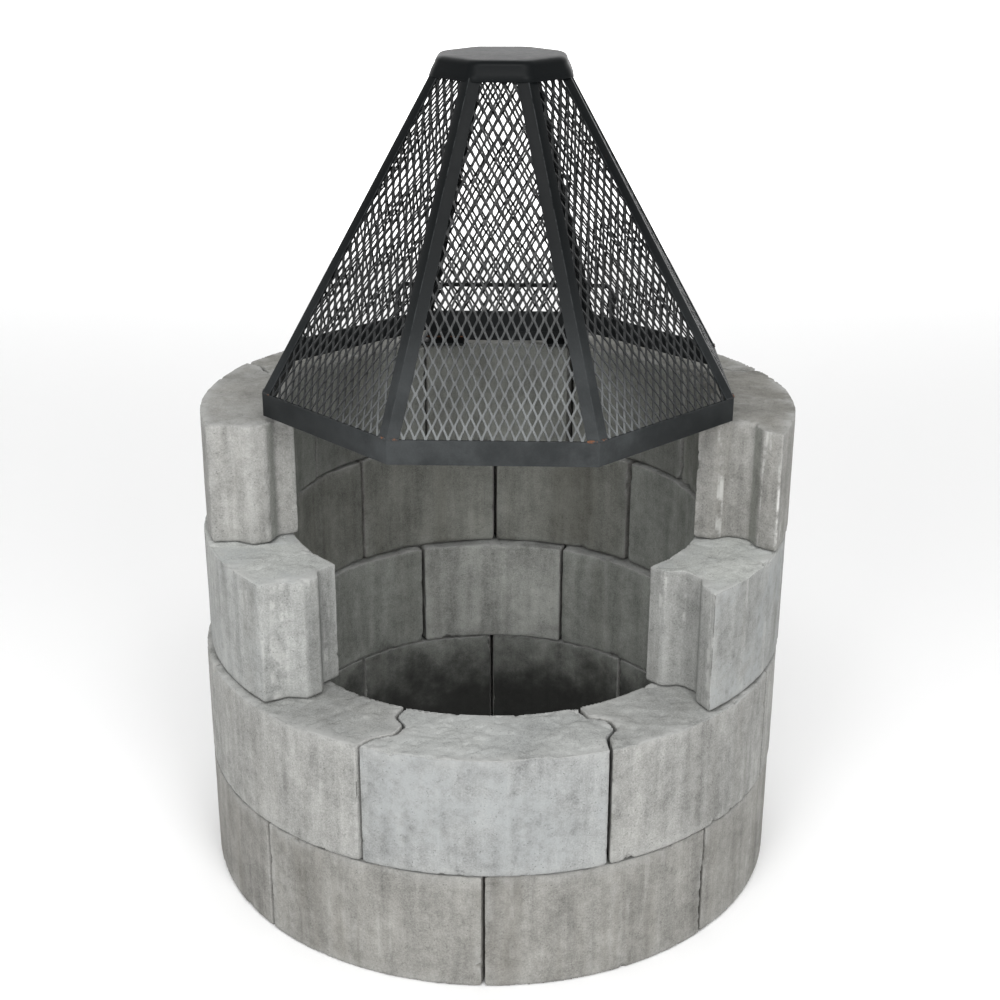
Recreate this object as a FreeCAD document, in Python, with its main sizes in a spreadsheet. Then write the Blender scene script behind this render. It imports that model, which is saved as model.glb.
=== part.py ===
"""Fire pit: a dry-stacked ring of concrete blocks with a lift-off spark hood of steel and mesh.

Millimetres, +Z up. The origin is on the ring's axis at ground level, and the feed gap faces -Y.
Azimuths are in degrees, 0 at the front (-Y), growing towards +X.
"""
import FreeCAD
import Part
import Sketcher
import math
import os

DOC = FreeCAD.newDocument("FirePit")

# ---------------------------------------------------------------- driving sizes

SIZES = {
    # ring of blocks
    "ring_outer_diameter": 980,
    "ring_wall": 142,
    "course_height": 200,
    "joint_gap": 3,
    "block_arris": 3,
    # tongue and groove on the blocks' ends
    "tongue_inset": 34,
    "tongue_flank": 20,
    "tongue_crest": 30,
    "tongue_depth": 24,
    "tongue_round": 9,
    "end_setback": 12,
    # spark hood
    "hood_seat_inset": 20,
    "band_height": 38,
    "band_thickness": 5,
    "hood_rise": 510,
    "cap_flat_radius": 106,
    "cap_height": 30,
    "cap_thickness": 2.5,
    "rib_flange": 18,
    "rib_thickness": 3,
    # expanded metal
    "mesh_thickness": 2.4,
    "mesh_pitch_across": 16,
    "mesh_pitch_along": 32,
    "mesh_strand": 2.6,
    "mesh_edge": 3,
    "mesh_tuck": 12,
    # rear handle
    "handle_span": 400,
    "handle_bar_diameter": 8,
    "handle_rise": 86,
    "handle_foot_height": 12,
    "handle_bend_radius": 16,
    "finger_clearance": 28,
    # rear bar and feet that the hood stands on behind
    "rear_bar_height": 18,
    "rear_bar_end_gap": 4,
    "foot_width": 80,
    "foot_middle": 116,
    "foot_reach": 46,
    "foot_thickness": 5,
    # how the loose pieces were set down
    "hood_shift_x": 8,
    "hood_shift_y": 4,
}

HOOD_TURN = -1.7
BLOCKS_PER_RING = 8
BLOCK_ANGLE = 360.0 / BLOCKS_PER_RING
SIDES = 8
SIDE_ANGLE = 360.0 / SIDES
HALF_SIDE = SIDE_ANGLE / 2
WELD_GAP = 0.2
MITRE_GAP = 0.3

# Each course: azimuth of its first block, how many blocks, the course's shift, and how far the
# blocks beside the feed gap were pushed round towards it.
COURSES = [
    {"first": 22.5, "count": 8, "shift": (-5, -7), "pushed": {}},
    {"first": 0.0, "count": 8, "shift": (-4, -12), "pushed": {}},
    {"first": 67.5, "count": 6, "shift": (1, 4), "pushed": {0: -1.9, 1: -0.7}},
    {"first": 90.0, "count": 5, "shift": (5, 12), "pushed": {0: -2.4, 1: -1.0}},
]


class Bound:
    """A number together with the spreadsheet expression that gives it."""

    def __init__(self, value, text=None):
        self.value = float(value)
        self.text = text if text is not None else "%.10g" % value

    @staticmethod
    def of(other):
        return other if isinstance(other, Bound) else Bound(other)

    def _join(self, other, sign, value):
        return Bound(value, "(%s %s %s)" % (self.text, sign, other.text))

    def __add__(self, other):
        other = Bound.of(other)
        return self._join(other, "+", self.value + other.value)

    def __sub__(self, other):
        other = Bound.of(other)
        return self._join(other, "-", self.value - other.value)

    def __mul__(self, other):
        other = Bound.of(other)
        return self._join(other, "*", self.value * other.value)

    def __truediv__(self, other):
        other = Bound.of(other)
        return self._join(other, "/", self.value / other.value)

    def __radd__(self, other):
        return Bound.of(other) + self

    def __rsub__(self, other):
        return Bound.of(other) - self

    def __rmul__(self, other):
        return Bound.of(other) * self

    def __neg__(self):
        return Bound(0) - self

    def root(self):
        return Bound(math.sqrt(self.value), "sqrt(%s)" % self.text)


def sin(degrees):
    return math.sin(math.radians(degrees))


def cos(degrees):
    return math.cos(math.radians(degrees))


def tan(degrees):
    return math.tan(math.radians(degrees))


def write_sheet():
    """Put the driving sizes in a spreadsheet, and return each as a Bound."""
    sheet = DOC.addObject("Spreadsheet::Sheet", "Sizes")
    sizes = {}
    for row, (name, number) in enumerate(SIZES.items(), start=1):
        sheet.set("A%d" % row, name)
        sheet.set("B%d" % row, str(number))
        sheet.setAlias("B%d" % row, name)
        sizes[name] = Bound(number, "Sizes.%s" % name)
    DOC.recompute()
    return sizes


SIZE = write_sheet()

# ---------------------------------------------------------------- sizes worked out from those

OUTER_RADIUS = SIZE["ring_outer_diameter"] / 2
INNER_RADIUS = OUTER_RADIUS - SIZE["ring_wall"]
RING_TOP = SIZE["course_height"] * len(COURSES)

HOOD_FLAT = INNER_RADIUS + SIZE["hood_seat_inset"]
HOOD_CORNER = HOOD_FLAT / cos(HALF_SIDE)
CAP_CORNER = SIZE["cap_flat_radius"] / cos(HALF_SIDE)
SLOPE_RISE = SIZE["hood_rise"] - SIZE["band_height"]
CORNER_TAPER = (HOOD_CORNER - CAP_CORNER) / SLOPE_RISE
FLAT_TAPER = (HOOD_FLAT - SIZE["cap_flat_radius"]) / SLOPE_RISE
CAP_UNDERSIDE = SIZE["hood_rise"] + SIZE["cap_height"] - SIZE["cap_thickness"]

# The hood stands on its band's front edge and on the rear bar's inner edge, so it leans forward.
BAND_BACK = HOOD_FLAT - SIZE["band_thickness"]
LEAN_SLOPE = SIZE["rear_bar_height"] / (HOOD_FLAT + BAND_BACK)
HOOD_LEAN = math.degrees(math.atan(LEAN_SLOPE.value))


def hood_corner_radius(height):
    """Corner radius of the pyramid's outer surface at a height above the band's foot."""
    return HOOD_CORNER - CORNER_TAPER * (height - SIZE["band_height"])


# ---------------------------------------------------------------- sketch and body helpers

def new_body(label):
    body = DOC.addObject("PartDesign::Body", label)
    body.Label = label
    return body


def new_sketch(body, role, name, lift=None):
    """A sketch on one of the body's own origin planes, raised by lift along its normal."""
    sketch = body.newObject("Sketcher::SketchObject", name)
    plane = next(f for f in body.Origin.OriginFeatures if f.Role == role)
    sketch.AttachmentSupport = [(plane, "")]
    sketch.MapMode = "FlatFace"
    if lift is not None:
        sketch.AttachmentOffset.Base.z = lift.value
        sketch.setExpression("AttachmentOffset.Base.z", lift.text)
    return sketch


def bind(sketch, kind, *args):
    """Add a dimension whose last argument is a Bound."""
    bound = args[-1]
    index = sketch.addConstraint(Sketcher.Constraint(kind, *args[:-1], bound.value))
    sketch.setExpression("Constraints[%d]" % index, bound.text)


def pin_point(sketch, geometry, end, x, y=None):
    """Fix a geometry's end point by its distances from the sketch's origin."""
    bind(sketch, "DistanceX", -1, 1, geometry, end, x)
    if y is not None:
        bind(sketch, "DistanceY", -1, 1, geometry, end, y)


def join(sketch, geometry_a, end_a, geometry_b, end_b):
    sketch.addConstraint(Sketcher.Constraint("Coincident", geometry_a, end_a, geometry_b, end_b))


def add_loop(sketch, points):
    """Add a closed loop of straight lines through points given as pairs of Bound."""
    first = sketch.GeometryCount
    count = len(points)
    vectors = [FreeCAD.Vector(x.value, y.value, 0) for x, y in points]
    for i in range(count):
        sketch.addGeometry(Part.LineSegment(vectors[i], vectors[(i + 1) % count]), False)
    for i, (x, y) in enumerate(points):
        join(sketch, first + i, 2, first + (i + 1) % count, 1)
        pin_point(sketch, first + i, 1, x, y)


def octagon(corner_radius):
    """Corners of an octagon with a flat to the front."""
    corners = []
    for i in range(SIDES):
        azimuth = HALF_SIDE + i * SIDE_ANGLE
        corners.append((corner_radius * sin(azimuth), corner_radius * -cos(azimuth)))
    return corners


def pad(body, sketch, length):
    feature = body.newObject("PartDesign::Pad", "Pad")
    feature.Profile = sketch
    feature.Length = length.value
    feature.setExpression("Length", length.text)
    return feature


def loft(body, kind, lower, upper):
    feature = body.newObject(kind, "Loft")
    feature.Profile = lower
    feature.Sections = [upper]
    feature.Ruled = True
    return feature


def dress(body, kind, base, names, size_property, size):
    """Fillet or chamfer the named edges or faces of the base feature."""
    feature = body.newObject(kind, kind.split("::")[1])
    feature.Base = (base, names)
    setattr(feature, size_property, size.value)
    feature.setExpression(size_property, size.text)
    return feature


def place(part, x, y, z, turn=0.0, seat=FreeCAD.Placement()):
    """Set a sub-part's place, with the seat inside that place applied first."""
    outer = FreeCAD.Placement(
        FreeCAD.Vector(x.value, y.value, z.value),
        FreeCAD.Rotation(FreeCAD.Vector(0, 0, 1), turn),
    )
    part.Placement = outer.multiply(seat)


def place_on_hood(part, turn=0.0, seat=FreeCAD.Placement()):
    """Place a piece in the hood's frame, whose origin is on its axis at the band's foot."""
    inner = FreeCAD.Placement(
        FreeCAD.Vector(0, 0, 0), FreeCAD.Rotation(FreeCAD.Vector(0, 0, 1), turn)
    )
    lean = FreeCAD.Placement(
        FreeCAD.Vector(0, 0, 0),
        FreeCAD.Rotation(FreeCAD.Vector(1, 0, 0), HOOD_LEAN),
        FreeCAD.Vector(0, -HOOD_FLAT.value, 0),
    )
    place(
        part,
        SIZE["hood_shift_x"],
        SIZE["hood_shift_y"],
        RING_TOP,
        HOOD_TURN,
        lean.multiply(inner).multiply(seat),
    )


# ---------------------------------------------------------------- concrete blocks

def end_outline():
    """The ogee joint between two blocks, from the inner face out.

    Each point is a distance from the ring's axis and a sideways offset, positive towards the
    next block, so the tongue of one block lies in the groove of its neighbour.
    """
    root = INNER_RADIUS + SIZE["tongue_inset"]
    crest = root + SIZE["tongue_flank"]
    crest_end = crest + SIZE["tongue_crest"]
    return [
        (root, Bound(0)),
        (crest, SIZE["tongue_depth"]),
        (crest_end, SIZE["tongue_depth"]),
        (crest_end + SIZE["tongue_flank"], Bound(0)),
    ]


def on_end(radius, sideways, side):
    """A point of a block's end; side is +1 for the tongue's end and -1 for the groove's."""
    azimuth = side * BLOCK_ANGLE / 2
    offset = sideways - SIZE["joint_gap"] / 2 * side
    x = radius * sin(azimuth) + offset * cos(azimuth)
    y = radius * -cos(azimuth) + offset * sin(azimuth)
    return x, y


def rim_point(radius, sideways, side):
    """The corner where a block's end meets the circle of that radius."""
    offset = sideways - SIZE["joint_gap"] / 2 * side
    along = (radius * radius - offset * offset).root()
    return on_end(along, sideways, side)


def block_sketch(body):
    """Plan of one block, centred on the front: two arcs and two ogee ends."""
    sketch = new_sketch(body, "XY_Plane", "Plan")
    setback = -SIZE["end_setback"]
    ends = {side: [on_end(r, s, side) for r, s in end_outline()] for side in (1, -1)}
    outer = {side: rim_point(OUTER_RADIUS, setback, side) for side in (1, -1)}
    inner = {side: rim_point(INNER_RADIUS, Bound(0), side) for side in (1, -1)}

    def vector(point):
        return FreeCAD.Vector(point[0].value, point[1].value, 0)

    def arc(radius, corners):
        circle = Part.Circle(FreeCAD.Vector(0, 0, 0), FreeCAD.Vector(0, 0, 1), radius.value)
        start, end = [math.atan2(corners[s][1].value, corners[s][0].value) for s in (-1, 1)]
        return Part.ArcOfCircle(circle, start, end)

    def chain(points):
        vectors = [vector(p) for p in points]
        return [Part.LineSegment(a, b) for a, b in zip(vectors, vectors[1:])]

    tongue_side = [outer[1]] + ends[1][::-1] + [inner[1]]
    groove_side = [inner[-1]] + ends[-1] + [outer[-1]]
    sketch.addGeometry(arc(OUTER_RADIUS, outer), False)
    sketch.addGeometry(chain(tongue_side), False)
    sketch.addGeometry(arc(INNER_RADIUS, inner), False)
    sketch.addGeometry(chain(groove_side), False)

    lines = len(tongue_side) - 1
    inner_arc = lines + 1
    for geometry, radius in ((0, OUTER_RADIUS), (inner_arc, INNER_RADIUS)):
        join(sketch, geometry, 3, -1, 1)
        bind(sketch, "Radius", geometry, radius)
    join(sketch, 0, 2, 1, 1)
    join(sketch, lines, 2, inner_arc, 2)
    join(sketch, inner_arc, 1, inner_arc + 1, 1)
    join(sketch, inner_arc + lines, 2, 0, 1)
    for first, points in ((1, tongue_side), (inner_arc + 1, groove_side)):
        for i in range(1, lines):
            join(sketch, first + i - 1, 2, first + i, 1)
            pin_point(sketch, first + i, 1, *points[i])
        pin_point(sketch, first, 1, points[0][0])
        pin_point(sketch, first + lines - 1, 2, points[-1][0])
    return sketch


def upright_edges(shape, low, high):
    """Names of the vertical edges whose distance from the axis lies between low and high."""
    names = []
    for i, edge in enumerate(shape.Edges, start=1):
        ends = [v.Point for v in edge.Vertexes]
        if len(ends) != 2 or math.hypot(ends[0].x - ends[1].x, ends[0].y - ends[1].y) > 1e-6:
            continue
        if low < math.hypot(ends[0].x, ends[0].y) < high:
            names.append("Edge%d" % i)
    return names


def flat_faces(shape):
    """Names of the top and bottom faces."""
    names = []
    for i, face in enumerate(shape.Faces, start=1):
        if isinstance(face.Surface, Part.Plane) and abs(face.normalAt(0, 0).z) > 0.999:
            names.append("Face%d" % i)
    return names


def make_block(label):
    """One ring block as cast: ogee ends, rounded tongue and groove, broken arrises."""
    body = new_body(label)
    solid = pad(body, block_sketch(body), SIZE["course_height"])
    DOC.recompute()
    inside = (INNER_RADIUS + 1).value
    outside = (OUTER_RADIUS - 1).value
    ogee = upright_edges(solid.Shape, inside, outside)
    rounded = dress(body, "PartDesign::Fillet", solid, ogee, "Radius", SIZE["tongue_round"])
    DOC.recompute()
    edges = flat_faces(rounded.Shape)
    dress(body, "PartDesign::Chamfer", rounded, edges, "Size", SIZE["block_arris"])
    return body


def make_ring():
    """All courses of blocks, each course a separate row of loose blocks."""
    blocks = []
    for level, course in enumerate(COURSES):
        shift_x, shift_y = course["shift"]
        for index in range(course["count"]):
            block = make_block("course%d_block%d" % (level + 1, index + 1))
            azimuth = course["first"] + index * BLOCK_ANGLE + course["pushed"].get(index, 0.0)
            height = SIZE["course_height"] * level
            place(block, Bound(shift_x), Bound(shift_y), height, azimuth)
            blocks.append(block)
    return blocks


# ---------------------------------------------------------------- spark hood

def make_band():
    """The octagonal base band that the hood stands on."""
    body = new_body("hood_base_band")
    sketch = new_sketch(body, "XY_Plane", "Plan")
    inner_corner = (HOOD_FLAT - SIZE["band_thickness"]) / cos(HALF_SIDE)
    add_loop(sketch, octagon(HOOD_CORNER))
    add_loop(sketch, octagon(inner_corner))
    pad(body, sketch, SIZE["band_height"])
    place_on_hood(body)
    return body


def rib_section(corner_radius):
    """Level section of a corner rib: two flanges along the hood's sides, corner to the front."""
    flange = SIZE["rib_flange"]
    wall = SIZE["rib_thickness"]
    tip = -corner_radius
    inner_tip = tip + wall / cos(HALF_SIDE)
    reach_x = flange * cos(HALF_SIDE)
    reach_y = flange * sin(HALF_SIDE)
    inset_x = reach_x - wall * sin(HALF_SIDE)
    inset_y = reach_y + wall * cos(HALF_SIDE)
    return [
        (Bound(0), tip),
        (reach_x, tip + reach_y),
        (inset_x, tip + inset_y),
        (Bound(0), inner_tip),
        (-inset_x, tip + inset_y),
        (-reach_x, tip + reach_y),
    ]


def make_rib(index):
    """One corner rib of angle iron, from the band up to the underside of the cap."""
    body = new_body("hood_rib%d" % (index + 1))
    foot = SIZE["band_height"]
    sketches = []
    for name, height in (("Foot", foot), ("Head", CAP_UNDERSIDE)):
        sketch = new_sketch(body, "XY_Plane", name, height)
        add_loop(sketch, rib_section(hood_corner_radius(height)))
        sketches.append(sketch)
    loft(body, "PartDesign::AdditiveLoft", *sketches)
    place_on_hood(body, HALF_SIDE + index * SIDE_ANGLE)
    return body


def make_cap():
    """The folded lid over the ribs' heads: a sloping skirt and a flat top, open below."""
    body = new_body("hood_cap")
    skin = SIZE["cap_thickness"] / cos(HALF_SIDE)
    rim = SIZE["hood_rise"]
    top = rim + SIZE["cap_height"]
    rings = []
    for name, height, growth in (
        ("OuterRim", rim, skin),
        ("OuterTop", top, skin),
        ("InnerRim", rim, Bound(0)),
        ("InnerTop", CAP_UNDERSIDE, Bound(0)),
    ):
        sketch = new_sketch(body, "XY_Plane", name, height)
        add_loop(sketch, octagon(hood_corner_radius(height) + growth))
        rings.append(sketch)
    loft(body, "PartDesign::AdditiveLoft", rings[0], rings[1])
    loft(body, "PartDesign::SubtractiveLoft", rings[2], rings[3])
    place_on_hood(body)
    return body


def clip(points, base, normal):
    """Keep the part of a convex polygon on the side of a line that its normal points to."""
    kept = []
    depths = [(p[0] - base[0]) * normal[0] + (p[1] - base[1]) * normal[1] for p in points]
    for i, point in enumerate(points):
        following = points[(i + 1) % len(points)]
        here, there = depths[i], depths[(i + 1) % len(points)]
        if here >= 0:
            kept.append(point)
        if here * there < 0:
            share = here / (here - there)
            kept.append(tuple(a + share * (b - a) for a, b in zip(point, following)))
    return kept


def area(points):
    total = 0.0
    for a, b in zip(points, points[1:] + points[:1]):
        total += a[0] * b[1] - b[0] * a[1]
    return abs(total) / 2


def wire(points):
    return Part.makePolygon([FreeCAD.Vector(x, y, 0) for x, y in points + points[:1]])


def mesh_holes(corners):
    """The diamonds of the expanded metal, cut off along the panel's edge strip."""
    across = SIZE["mesh_pitch_across"].value
    along = SIZE["mesh_pitch_along"].value
    half_u = across / 2
    half_v = along / 2
    side_distance = half_u * half_v / math.hypot(half_u, half_v)
    open_share = 1 - SIZE["mesh_strand"].value / 2 / side_distance
    hole_u = half_u * open_share
    hole_v = half_v * open_share
    smallest = 0.04 * hole_u * hole_v

    fences = []
    for a, b in zip(corners, corners[1:] + corners[:1]):
        length = math.hypot(b[0] - a[0], b[1] - a[1])
        normal = (-(b[1] - a[1]) / length, (b[0] - a[0]) / length)
        edge = SIZE["mesh_edge"].value
        fences.append(((a[0] + normal[0] * edge, a[1] + normal[1] * edge), normal))

    holes = []
    rows = int(corners[2][1] / half_v) + 2
    columns = int(corners[1][0] / across) + 2
    for row in range(rows):
        stagger = half_u * (row % 2)
        for column in range(-columns, columns + 1):
            u = column * across + stagger
            v = row * half_v
            hole = [(u + hole_u, v), (u, v + hole_v), (u - hole_u, v), (u, v - hole_v)]
            for base, normal in fences:
                hole = clip(hole, base, normal)
            if len(hole) > 2 and area(hole) > smallest:
                holes.append(hole)
    return holes


def panel_shape():
    """One mesh panel in its own plane: u level, v up the slope, its outer face at w = 0."""
    thickness = SIZE["mesh_thickness"].value
    slope = math.degrees(math.atan(FLAT_TAPER.value))
    foot = thickness * tan(slope)
    head = (SLOPE_RISE + SIZE["mesh_tuck"]).value / cos(slope)
    behind_flange = (HOOD_FLAT - SIZE["rib_thickness"]).value
    mitre = thickness * tan(HALF_SIDE) + MITRE_GAP

    def half_width(v):
        return (behind_flange - v * sin(slope)) * tan(HALF_SIDE) - mitre

    corners = [
        (-half_width(foot), foot),
        (half_width(foot), foot),
        (half_width(head), head),
        (-half_width(head), head),
    ]
    openings = [wire(hole[::-1]) for hole in mesh_holes(corners)]
    face = Part.Face([wire(corners)] + openings)
    return face.extrude(FreeCAD.Vector(0, 0, -thickness))


def make_panels():
    """The eight mesh panels, welded behind the ribs' flanges."""
    shape = panel_shape()
    slope = math.degrees(math.atan(FLAT_TAPER.value))
    behind_flange = (HOOD_FLAT - SIZE["rib_thickness"]).value
    seat = FreeCAD.Placement(
        FreeCAD.Vector(0, -behind_flange, SIZE["band_height"].value),
        FreeCAD.Rotation(FreeCAD.Vector(1, 0, 0), 90 - slope),
    )
    panels = []
    for index in range(SIDES):
        panel = DOC.addObject("Part::Feature", "hood_mesh_panel%d" % (index + 1))
        panel.Label = panel.Name
        panel.Shape = shape.copy()
        place_on_hood(panel, index * SIDE_ANGLE, seat)
        panels.append(panel)
    return panels


def make_handle():
    """The bent round bar at the rear, its feet welded to the two rear side bands."""
    body = new_body("hood_rear_handle")
    half_span = SIZE["handle_span"] / 2
    bar_radius = SIZE["handle_bar_diameter"] / 2
    foot_height = SIZE["handle_foot_height"]
    rise = SIZE["handle_rise"]
    foot_y = HOOD_FLAT / cos(SIDE_ANGLE) - half_span + (bar_radius + WELD_GAP) / cos(SIDE_ANGLE)
    top_flat = HOOD_FLAT - FLAT_TAPER * (rise - SIZE["band_height"])
    top_y = top_flat + SIZE["finger_clearance"] + bar_radius
    run_y = top_y - foot_y
    run_z = rise - foot_height
    leg = (run_y * run_y + run_z * run_z).root()
    lean = math.degrees(math.atan2(run_y.value, run_z.value))
    bend = SIZE["handle_bend_radius"]

    path = new_sketch(body, "XZ_Plane", "Path")
    v = FreeCAD.Vector
    left, right = -half_span, half_span
    shoulder = leg - bend
    corner_left = left + bend
    corner_right = right - bend

    def corner(x, start, end):
        centre = v(x.value, shoulder.value, 0)
        return Part.ArcOfCircle(Part.Circle(centre, v(0, 0, 1), bend.value), start, end)

    path.addGeometry([
        Part.LineSegment(v(left.value, 0, 0), v(left.value, shoulder.value, 0)),
        corner(corner_left, math.pi / 2, math.pi),
        Part.LineSegment(v(corner_left.value, leg.value, 0), v(corner_right.value, leg.value, 0)),
        corner(corner_right, 0, math.pi / 2),
        Part.LineSegment(v(right.value, shoulder.value, 0), v(right.value, 0, 0)),
    ], False)
    for geometry_a, end_a, geometry_b, end_b in ((0, 2, 1, 2), (1, 1, 2, 1), (2, 2, 3, 2), (3, 1, 4, 1)):
        path.addConstraint(Sketcher.Constraint("Tangent", geometry_a, end_a, geometry_b, end_b))
    pin_point(path, 0, 1, left, Bound(0))
    pin_point(path, 4, 2, right, Bound(0))
    path.addConstraint(Sketcher.Constraint("Vertical", 0))
    path.addConstraint(Sketcher.Constraint("Horizontal", 2))
    bind(path, "DistanceY", -1, 1, 2, 1, leg)
    bind(path, "Radius", 1, bend)
    bind(path, "Radius", 3, bend)

    section = new_sketch(body, "XY_Plane", "Section")
    section.addGeometry(Part.Circle(v(left.value, 0, 0), v(0, 0, 1), bar_radius.value), False)
    pin_point(section, 0, 3, left)
    section.addConstraint(Sketcher.Constraint("PointOnObject", 0, 3, -1))
    bind(section, "Radius", 0, bar_radius)

    pipe = body.newObject("PartDesign::AdditivePipe", "Bar")
    pipe.Profile = section
    pipe.Spine = (path, ["Edge%d" % (i + 1) for i in range(5)])
    seat = FreeCAD.Placement(
        FreeCAD.Vector(0, foot_y.value, foot_height.value),
        FreeCAD.Rotation(FreeCAD.Vector(1, 0, 0), -lean),
    )
    place_on_hood(body, 0.0, seat)
    return body


def add_rectangle(sketch, x_low, x_high, y_low, y_high):
    add_loop(sketch, [(x_low, y_low), (x_high, y_low), (x_high, y_high), (x_low, y_high)])


def make_rear_bar():
    """The flat bar under the rear of the band, which the hood stands on behind."""
    body = new_body("hood_rear_bar")
    half_length = BAND_BACK * tan(HALF_SIDE) - SIZE["rear_bar_end_gap"]
    sketch = new_sketch(body, "XY_Plane", "Plan", -SIZE["rear_bar_height"])
    add_rectangle(sketch, -half_length, half_length, BAND_BACK, HOOD_FLAT)
    pad(body, sketch, SIZE["rear_bar_height"])
    place_on_hood(body)
    return body


def make_foot(label, side):
    """A flat foot that reaches inwards from the rear bar, over the top course's inner edge."""
    body = new_body(label)
    near_edge = (SIZE["foot_middle"] - SIZE["foot_width"] / 2) * side
    far_edge = (SIZE["foot_middle"] + SIZE["foot_width"] / 2) * side
    tip = BAND_BACK - SIZE["foot_reach"]
    underside = -LEAN_SLOPE * (HOOD_FLAT + tip)
    sketch = new_sketch(body, "XY_Plane", "Plan", underside)
    add_rectangle(sketch, near_edge, far_edge, tip, BAND_BACK)
    pad(body, sketch, SIZE["foot_thickness"])
    place_on_hood(body)
    return body


def make_hood():
    """Every piece of the spark hood."""
    pieces = [make_band(), make_cap(), make_handle()]
    pieces += [make_rib(index) for index in range(SIDES)]
    pieces += make_panels()
    pieces.append(make_rear_bar())
    pieces.append(make_foot("hood_rear_foot_left", -1))
    pieces.append(make_foot("hood_rear_foot_right", 1))
    return pieces


# ---------------------------------------------------------------- build, check and write

def check(sub_parts):
    """Stop if any object failed or any sub-part's shape isn't one sound solid."""
    faults = []
    for item in DOC.Objects:
        if "Invalid" in item.State or "Error" in item.State:
            faults.append("%s: %s" % (item.Name, item.State))
    for part in sub_parts:
        shape = part.Shape
        if shape.isNull() or not shape.isValid() or len(shape.Solids) != 1 or shape.Volume <= 0:
            faults.append("%s: its shape isn't one sound solid" % part.Label)
    if faults:
        raise RuntimeError("; ".join(faults))


def write(sub_parts):
    os.makedirs("parts", exist_ok=True)
    for part in sub_parts:
        part.Shape.exportStep("parts/%s.step" % part.Label)


SUB_PARTS = make_ring() + make_hood()
DOC.recompute()
check(SUB_PARTS)
write(SUB_PARTS)
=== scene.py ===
"""The looks of a dry-stacked concrete fire pit and its lift-off spark hood.

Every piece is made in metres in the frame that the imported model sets, and rides on one of its
two bodies: the ring of blocks, or the spark hood that lifts straight up off the top course.
"""
import logging
import math
from dataclasses import dataclass, field
from enum import Enum
from typing import Sequence, Union

import bmesh
import bpy
from mathutils import Matrix, Vector, noise


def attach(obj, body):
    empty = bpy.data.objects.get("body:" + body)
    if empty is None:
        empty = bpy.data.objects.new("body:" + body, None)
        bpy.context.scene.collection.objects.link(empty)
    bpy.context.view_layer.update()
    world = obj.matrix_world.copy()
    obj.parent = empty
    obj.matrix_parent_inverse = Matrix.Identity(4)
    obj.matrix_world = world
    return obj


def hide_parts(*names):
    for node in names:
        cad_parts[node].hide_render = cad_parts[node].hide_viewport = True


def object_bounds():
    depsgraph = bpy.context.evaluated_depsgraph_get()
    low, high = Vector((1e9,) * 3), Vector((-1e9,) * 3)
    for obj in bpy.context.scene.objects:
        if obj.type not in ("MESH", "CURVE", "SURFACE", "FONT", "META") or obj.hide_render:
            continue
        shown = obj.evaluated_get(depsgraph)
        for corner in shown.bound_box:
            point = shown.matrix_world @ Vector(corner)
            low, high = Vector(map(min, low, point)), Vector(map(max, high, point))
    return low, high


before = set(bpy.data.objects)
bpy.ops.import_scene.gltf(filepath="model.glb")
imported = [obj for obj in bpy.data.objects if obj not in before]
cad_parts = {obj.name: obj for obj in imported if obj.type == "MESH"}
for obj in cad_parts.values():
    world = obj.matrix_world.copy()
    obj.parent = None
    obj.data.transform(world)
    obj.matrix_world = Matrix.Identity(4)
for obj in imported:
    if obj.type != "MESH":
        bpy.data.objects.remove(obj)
CAD_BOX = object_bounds()

LOG = logging.getLogger("fire_pit")
RING_BODY = "block_ring"
HOOD_BODY = "spark_hood"
SIDES = 8
SIDE_ANGLE = 2 * math.pi / SIDES
HALF_SIDE = SIDE_ANGLE / 2
MERGE_DISTANCE = 2e-5
FLAT_ANGLE = math.radians(1)
CREASE_ANGLE = math.radians(32)
ARC_STEPS = 6

Colour = tuple[float, float, float]
Feed = Union["Wire", float, int, bool, tuple, bpy.types.ID]


# ---------------------------------------------------------------- wiring of node trees


class Wire:
    """One output in a node tree, with the arithmetic that adds Math nodes."""

    def __init__(self, tree: "Tree", socket: bpy.types.NodeSocket) -> None:
        """Hold a socket together with the tree that it belongs to."""
        self.tree = tree
        self.socket = socket

    def __add__(self, other: Feed) -> "Wire":
        """Sum of this and the other."""
        return self.tree.math("ADD", self, other)

    def __radd__(self, other: Feed) -> "Wire":
        """Sum of the other and this."""
        return self.tree.math("ADD", other, self)

    def __sub__(self, other: Feed) -> "Wire":
        """This less the other."""
        return self.tree.math("SUBTRACT", self, other)

    def __rsub__(self, other: Feed) -> "Wire":
        """The other less this."""
        return self.tree.math("SUBTRACT", other, self)

    def __mul__(self, other: Feed) -> "Wire":
        """Product of this and the other."""
        return self.tree.math("MULTIPLY", self, other)

    def __rmul__(self, other: Feed) -> "Wire":
        """Product of the other and this."""
        return self.tree.math("MULTIPLY", other, self)

    def __truediv__(self, other: Feed) -> "Wire":
        """This over the other."""
        return self.tree.math("DIVIDE", self, other)


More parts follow.
